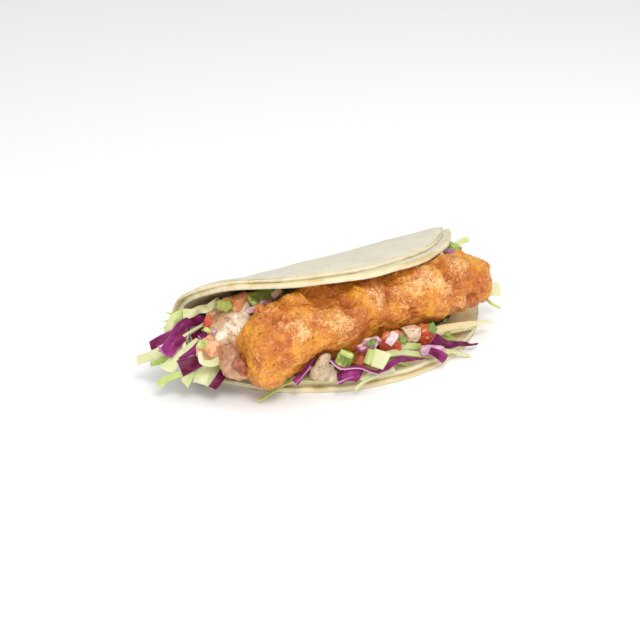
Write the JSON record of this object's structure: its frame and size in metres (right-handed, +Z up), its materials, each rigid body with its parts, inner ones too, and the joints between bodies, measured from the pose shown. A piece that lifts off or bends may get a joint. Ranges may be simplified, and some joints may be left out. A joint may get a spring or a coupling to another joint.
{
  "type": "fried fish taco",
  "caption": "Folded soft taco lying on its side: two stacked tortillas around a battered fish stick, shredded cabbage, diced salsa and a thick sauce.",
  "frame": {"origin": "middle of the taco's box, on the surface it lies on", "axes": "+X along the fold, towards the end where the bare fish sticks out; -Y out of the open mouth; +Z up from the lower flap"},
  "size_m": [0.1743, 0.0895, 0.0488],
  "materials": {
    "tortilla": "soft floury flatbread",
    "fish": "rough golden fried batter",
    "slaw": "crisp shredded green and purple cabbage",
    "sauce": "glossy peppered cream sauce",
    "tomato": "wet cut tomato",
    "chilli": "wet cut green chilli",
    "onion": "wet cut red onion",
    "cabbage": "crisp cut green cabbage",
    "purple_cabbage": "crisp cut purple cabbage"
  },
  "bodies": {
    "root": {"tortilla_outer": "tortilla", "tortilla_inner": "tortilla", "fish": "fish", "slaw": "slaw", "sauce_left": "sauce", "sauce_front": "sauce", "tomato_top": "tomato", "tomato_wedge": "tomato", "tomato_low": "tomato", "tomato_front_a": "tomato", "tomato_front_b": "tomato", "tomato_front_c": "tomato", "chilli_top": "chilli", "chilli_front": "chilli", "chilli_right": "chilli", "onion_front": "onion", "onion_coated": "onion", "onion_right": "onion", "cabbage_front": "cabbage", "cabbage_purple": "purple_cabbage"}
  },
  "joints": []
}
